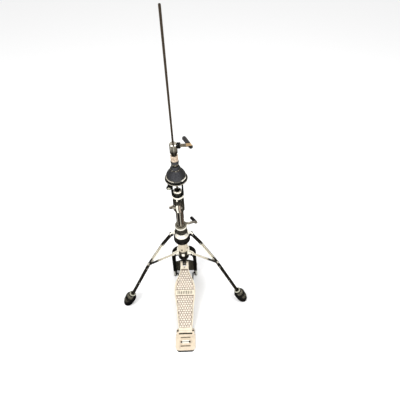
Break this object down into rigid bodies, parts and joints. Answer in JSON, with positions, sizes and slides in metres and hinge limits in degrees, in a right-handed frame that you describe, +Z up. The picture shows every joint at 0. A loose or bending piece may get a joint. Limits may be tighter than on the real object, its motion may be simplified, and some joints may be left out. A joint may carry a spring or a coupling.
{
  "type": "hi-hat stand",
  "caption": "Two-legged cymbal stand: a foot pedal pulls a spring-loaded rod through a telescopic tube, with a tilting seat and a clutch",
  "frame": {"origin": "point on the floor on the axis of the pull rod", "axes": "+Z up along the pull rod; -Y towards the player, along the pedal; +X to the player's view right, seen from the player's side looking along +Y"},
  "size_m": [0.548, 0.3812, 1.14],
  "materials": {
    "black_paint": "satin black powder coat",
    "black_rubber": "matt",
    "chrome": "polished",
    "zinc_steel": "bright plated",
    "rod_steel": "polished",
    "cast_aluminium": "satin cast, bare",
    "black_plastic": "satin",
    "dark_felt": "dense felt"
  },
  "bodies": {
    "base": {"frame_arch": "black_paint", "frame_web": "black_paint", "frame_feet": "black_rubber", "base_neck": "chrome", "neck_screws": "zinc_steel", "lower_leg_collar": "chrome", "strut_rivets": "zinc_steel", "spring_housing": "chrome", "lower_tube": "chrome", "spring_seat": "zinc_steel", "tension_spring": "zinc_steel", "tube_bushing": "black_plastic", "height_clamp": "chrome", "clamp_nut": "zinc_steel", "radius_rods": "black_paint", "heel_rubber": "black_rubber", "heel_plate": "cast_aluminium", "heel_hinge_pin": "zinc_steel"},
    "pedal": {"footboard": "cast_aluminium", "toe_pin": "zinc_steel"},
    "link": {"link_plates": "black_paint"},
    "pull_rod": {"rod_clevis": "black_paint", "clevis_pin": "zinc_steel", "lower_pull_rod": "rod_steel", "spring_perch": "zinc_steel", "rod_coupler": "zinc_steel", "upper_pull_rod": "rod_steel"},
    "upper_stem": {"upper_tube": "chrome", "rod_guide_bush": "black_plastic", "memory_lock": "chrome", "tube_ring_nut": "chrome", "tilter_yoke": "chrome"},
    "tilt_screw": {"tilter_screw": "black_plastic"},
    "seat": {"seat_hub": "chrome", "seat_pins": "zinc_steel", "tilt_lever": "zinc_steel", "seat_cup": "black_plastic", "seat_felts": "dark_felt", "seat_washer": "chrome", "seat_sleeve": "black_plastic"},
    "clutch": {"clutch_body": "chrome", "clutch_lock_nuts": "chrome", "clutch_felt": "dark_felt", "clutch_bottom_nut": "zinc_steel"},
    "clutch_wing": {"clutch_wing_bolt": "chrome"},
    "clamp_wing": {"clamp_wing_bolt": "chrome"},
    "collar": {"leg_collar": "chrome", "collar_bush": "black_plastic", "collar_rivets": "zinc_steel"},
    "collar_wing": {"collar_wing_bolt": "chrome"},
    "left_leg": {"leg_left": "black_paint", "leg_foot_left": "black_rubber"},
    "right_leg": {"leg_right": "black_paint", "leg_foot_right": "black_rubber"},
    "left_strut": {"strut_left": "chrome"},
    "right_strut": {"strut_right": "chrome"},
    "knob": {"tension_knob": "black_plastic"},
    "left_spur": {"spur_left": "zinc_steel"},
    "right_spur": {"spur_right": "zinc_steel"}
  },
  "joints": [
    {"name": "pedal_press", "type": "hinge", "parent": "base", "child": "pedal", "pos_m": [0, -0.2586, 0.0125], "axis": [-1, 0, 0], "range_deg": [0, 10], "stiffness_Nm_per_rad": 39, "springref_deg": -6.88},
    {"name": "pull_rod_slide", "type": "slide", "parent": "base", "child": "pull_rod", "axis": [0, 0, -1], "range_m": [0, 0.0475], "deforming": ["tension_spring"]},
    {"name": "link_swing", "type": "hinge", "parent": "pull_rod", "child": "link", "pos_m": [0, 0, 0.172], "axis": [1, 0, 0], "range_deg": [0, 20.5]},
    {"name": "height_slide", "type": "slide", "parent": "base", "child": "upper_stem", "axis": [0, 0, 1], "range_m": [0, 0.15]},
    {"name": "seat_tilt", "type": "hinge", "parent": "upper_stem", "child": "seat", "pos_m": [0, 0, 0.64], "axis": [1, 0, 0], "range_deg": [0, 3]},
    {"name": "tilt_screw_turn", "type": "hinge", "parent": "upper_stem", "child": "tilt_screw", "pos_m": [-0.026, 0, 0.624], "axis": [0, 1, 0], "range_deg": [0, 305]},
    {"name": "clutch_slide", "type": "slide", "parent": "upper_stem", "child": "clutch", "axis": [0, 0, 1], "range_m": [0, 0.12]},
    {"name": "clutch_wing_turn", "type": "hinge", "parent": "clutch", "child": "clutch_wing", "pos_m": [0, 0, 0.7855], "axis": [1, 0, 0], "continuous": true},
    {"name": "clamp_wing_turn", "type": "hinge", "parent": "base", "child": "clamp_wing", "pos_m": [0, -0.0255, 0.54], "axis": [-1, 0, 0], "range_deg": [-90, 35]},
    {"name": "leg_collar_slide", "type": "slide", "parent": "base", "child": "collar", "axis": [0, 0, 1], "range_m": [0, 0.065]},
    {"name": "collar_wing_turn", "type": "hinge", "parent": "collar", "child": "collar_wing", "pos_m": [0, 0, 0.405], "axis": [0.9511, 0.309, 0], "range_deg": [-90, 90]},
    {"name": "left_leg_fold", "type": "hinge", "parent": "collar", "child": "left_leg", "pos_m": [-0.03791, -0.01808, 0.376], "axis": [-0.4305, 0.9026, 0], "range_deg": [-5.6, 0]},
    {"name": "left_strut_swing", "type": "hinge", "parent": "base", "child": "left_strut", "pos_m": [-0.03701, -0.01765, 0.233], "axis": [-0.4305, 0.9026, 0], "range_deg": [0, 29.2]},
    {"name": "right_leg_fold", "type": "hinge", "parent": "collar", "child": "right_leg", "pos_m": [0.03791, -0.01808, 0.376], "axis": [-0.4305, -0.9026, 0], "range_deg": [-5.6, 0]},
    {"name": "right_strut_swing", "type": "hinge", "parent": "base", "child": "right_strut", "pos_m": [0.03701, -0.01765, 0.233], "axis": [-0.4305, -0.9026, 0], "range_deg": [0, 29.2]},
    {"name": "tension_knob_turn", "type": "hinge", "parent": "base", "child": "knob", "pos_m": [0, 0, 0.32], "axis": [0, 0, 1], "continuous": true},
    {"name": "left_spur_turn", "type": "hinge", "parent": "base", "child": "left_spur", "pos_m": [-0.048, 0.038, 0.02], "axis": [0, 0, 1], "continuous": true},
    {"name": "right_spur_turn", "type": "hinge", "parent": "base", "child": "right_spur", "pos_m": [0.048, 0.038, 0.02], "axis": [0, 0, 1], "continuous": true}
  ],
  "couplings": [
    {"joint": "pull_rod_slide", "follows": "pedal_press", "m_per_rad": 0.27001},
    {"joint": "link_swing", "follows": "pedal_press", "ratio": 1.9977},
    {"joint": "tilt_screw_turn", "follows": "seat_tilt", "ratio": 100.5},
    {"joint": "left_leg_fold", "follows": "leg_collar_slide", "rad_per_m": -1.4804},
    {"joint": "left_strut_swing", "follows": "leg_collar_slide", "rad_per_m": 7.7773},
    {"joint": "right_leg_fold", "follows": "leg_collar_slide", "rad_per_m": -1.4804},
    {"joint": "right_strut_swing", "follows": "leg_collar_slide", "rad_per_m": 7.7773}
  ]
}
